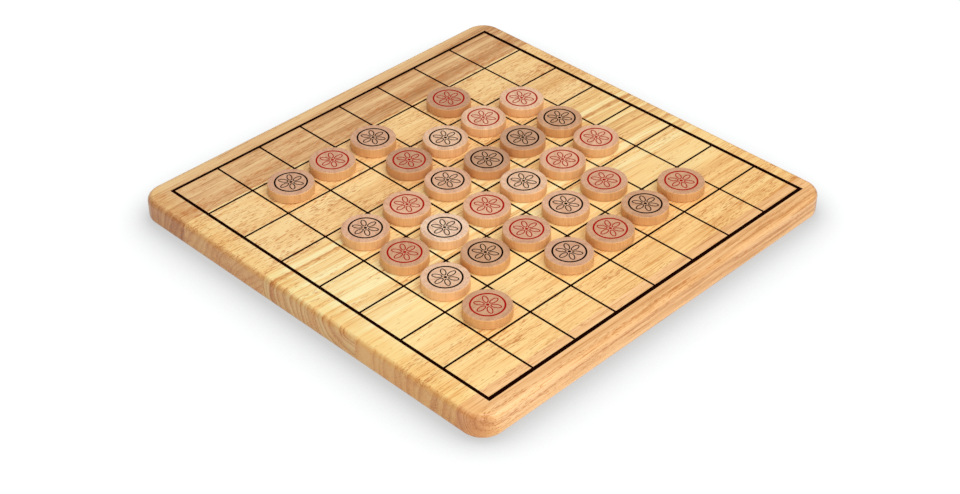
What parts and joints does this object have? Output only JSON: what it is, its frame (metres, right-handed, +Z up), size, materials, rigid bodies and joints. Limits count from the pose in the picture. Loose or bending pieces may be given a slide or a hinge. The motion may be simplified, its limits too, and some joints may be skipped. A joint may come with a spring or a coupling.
{
  "type": "wooden board game",
  "caption": "Solid wooden game board with a printed grid of squares and loose round two-colour wooden playing discs standing on it.",
  "frame": {"origin": "the middle of the board's underside", "axes": "+X along the board's grain, the way the columns a to h run; +Y across the grain, the way the rows 1 to 8 run; +Z up"},
  "size_m": [0.33, 0.326, 0.025],
  "materials": {
    "board_wood": "pale lacquered rubberwood, satin",
    "disc_wood": "sanded dowel slices, end grain on the faces, thin satin lacquer",
    "black_ink": "screen-printed black ink on wood",
    "red_ink": "screen-printed red ink on wood"
  },
  "bodies": {
    "board": {"near_edge_stave": "board_wood", "near_inner_stave": "board_wood", "middle_stave": "board_wood", "far_inner_stave": "board_wood", "far_edge_stave": "board_wood"},
    "black_disc_b3": {"black_disc_b3": "disc_wood"},
    "black_disc_b5": {"black_disc_b5": "disc_wood"},
    "black_disc_b7": {"black_disc_b7": "disc_wood"},
    "black_disc_c3": {"black_disc_c3": "disc_wood"},
    "black_disc_c4": {"black_disc_c4": "disc_wood"},
    "black_disc_d2": {"black_disc_d2": "disc_wood"},
    "black_disc_d5": {"black_disc_d5": "disc_wood"},
    "black_disc_d7": {"black_disc_d7": "disc_wood"},
    "black_disc_e3": {"black_disc_e3": "disc_wood"},
    "black_disc_e4": {"black_disc_e4": "disc_wood"},
    "black_disc_e5": {"black_disc_e5": "disc_wood"},
    "black_disc_e6": {"black_disc_e6": "disc_wood"},
    "black_disc_f2": {"black_disc_f2": "disc_wood"},
    "black_disc_f5": {"black_disc_f5": "disc_wood"},
    "black_disc_g5": {"black_disc_g5": "disc_wood"},
    "red_disc_b2": {"red_disc_b2": "disc_wood"},
    "red_disc_b4": {"red_disc_b4": "disc_wood"},
    "red_disc_c5": {"red_disc_c5": "disc_wood"},
    "red_disc_c7": {"red_disc_c7": "disc_wood"},
    "red_disc_d3": {"red_disc_d3": "disc_wood"},
    "red_disc_d4": {"red_disc_d4": "disc_wood"},
    "red_disc_d6": {"red_disc_d6": "disc_wood"},
    "red_disc_e2": {"red_disc_e2": "disc_wood"},
    "red_disc_f3": {"red_disc_f3": "disc_wood"},
    "red_disc_f4": {"red_disc_f4": "disc_wood"},
    "red_disc_f6": {"red_disc_f6": "disc_wood"},
    "red_disc_f7": {"red_disc_f7": "disc_wood"},
    "red_disc_g2": {"red_disc_g2": "disc_wood"},
    "red_disc_g4": {"red_disc_g4": "disc_wood"},
    "red_disc_g6": {"red_disc_g6": "disc_wood"}
  },
  "joints": [
    {"name": "lift_black_disc_b3", "type": "slide", "parent": "board", "child": "black_disc_b3", "axis": [0, 0, 1], "range_m": [0, 0.04]},
    {"name": "lift_black_disc_b5", "type": "slide", "parent": "board", "child": "black_disc_b5", "axis": [0, 0, 1], "range_m": [0, 0.04]},
    {"name": "lift_black_disc_b7", "type": "slide", "parent": "board", "child": "black_disc_b7", "axis": [0, 0, 1], "range_m": [0, 0.04]},
    {"name": "lift_black_disc_c3", "type": "slide", "parent": "board", "child": "black_disc_c3", "axis": [0, 0, 1], "range_m": [0, 0.04]},
    {"name": "lift_black_disc_c4", "type": "slide", "parent": "board", "child": "black_disc_c4", "axis": [0, 0, 1], "range_m": [0, 0.04]},
    {"name": "lift_black_disc_d2", "type": "slide", "parent": "board", "child": "black_disc_d2", "axis": [0, 0, 1], "range_m": [0, 0.04]},
    {"name": "lift_black_disc_d5", "type": "slide", "parent": "board", "child": "black_disc_d5", "axis": [0, 0, 1], "range_m": [0, 0.04]},
    {"name": "lift_black_disc_d7", "type": "slide", "parent": "board", "child": "black_disc_d7", "axis": [0, 0, 1], "range_m": [0, 0.04]},
    {"name": "lift_black_disc_e3", "type": "slide", "parent": "board", "child": "black_disc_e3", "axis": [0, 0, 1], "range_m": [0, 0.04]},
    {"name": "lift_black_disc_e4", "type": "slide", "parent": "board", "child": "black_disc_e4", "axis": [0, 0, 1], "range_m": [0, 0.04]},
    {"name": "lift_black_disc_e5", "type": "slide", "parent": "board", "child": "black_disc_e5", "axis": [0, 0, 1], "range_m": [0, 0.04]},
    {"name": "lift_black_disc_e6", "type": "slide", "parent": "board", "child": "black_disc_e6", "axis": [0, 0, 1], "range_m": [0, 0.04]},
    {"name": "lift_black_disc_f2", "type": "slide", "parent": "board", "child": "black_disc_f2", "axis": [0, 0, 1], "range_m": [0, 0.04]},
    {"name": "lift_black_disc_f5", "type": "slide", "parent": "board", "child": "black_disc_f5", "axis": [0, 0, 1], "range_m": [0, 0.04]},
    {"name": "lift_black_disc_g5", "type": "slide", "parent": "board", "child": "black_disc_g5", "axis": [0, 0, 1], "range_m": [0, 0.04]},
    {"name": "lift_red_disc_b2", "type": "slide", "parent": "board", "child": "red_disc_b2", "axis": [0, 0, 1], "range_m": [0, 0.04]},
    {"name": "lift_red_disc_b4", "type": "slide", "parent": "board", "child": "red_disc_b4", "axis": [0, 0, 1], "range_m": [0, 0.04]},
    {"name": "lift_red_disc_c5", "type": "slide", "parent": "board", "child": "red_disc_c5", "axis": [0, 0, 1], "range_m": [0, 0.04]},
    {"name": "lift_red_disc_c7", "type": "slide", "parent": "board", "child": "red_disc_c7", "axis": [0, 0, 1], "range_m": [0, 0.04]},
    {"name": "lift_red_disc_d3", "type": "slide", "parent": "board", "child": "red_disc_d3", "axis": [0, 0, 1], "range_m": [0, 0.04]},
    {"name": "lift_red_disc_d4", "type": "slide", "parent": "board", "child": "red_disc_d4", "axis": [0, 0, 1], "range_m": [0, 0.04]},
    {"name": "lift_red_disc_d6", "type": "slide", "parent": "board", "child": "red_disc_d6", "axis": [0, 0, 1], "range_m": [0, 0.04]},
    {"name": "lift_red_disc_e2", "type": "slide", "parent": "board", "child": "red_disc_e2", "axis": [0, 0, 1], "range_m": [0, 0.04]},
    {"name": "lift_red_disc_f3", "type": "slide", "parent": "board", "child": "red_disc_f3", "axis": [0, 0, 1], "range_m": [0, 0.04]},
    {"name": "lift_red_disc_f4", "type": "slide", "parent": "board", "child": "red_disc_f4", "axis": [0, 0, 1], "range_m": [0, 0.04]},
    {"name": "lift_red_disc_f6", "type": "slide", "parent": "board", "child": "red_disc_f6", "axis": [0, 0, 1], "range_m": [0, 0.04]},
    {"name": "lift_red_disc_f7", "type": "slide", "parent": "board", "child": "red_disc_f7", "axis": [0, 0, 1], "range_m": [0, 0.04]},
    {"name": "lift_red_disc_g2", "type": "slide", "parent": "board", "child": "red_disc_g2", "axis": [0, 0, 1], "range_m": [0, 0.04]},
    {"name": "lift_red_disc_g4", "type": "slide", "parent": "board", "child": "red_disc_g4", "axis": [0, 0, 1], "range_m": [0, 0.04]},
    {"name": "lift_red_disc_g6", "type": "slide", "parent": "board", "child": "red_disc_g6", "axis": [0, 0, 1], "range_m": [0, 0.04]}
  ]
}
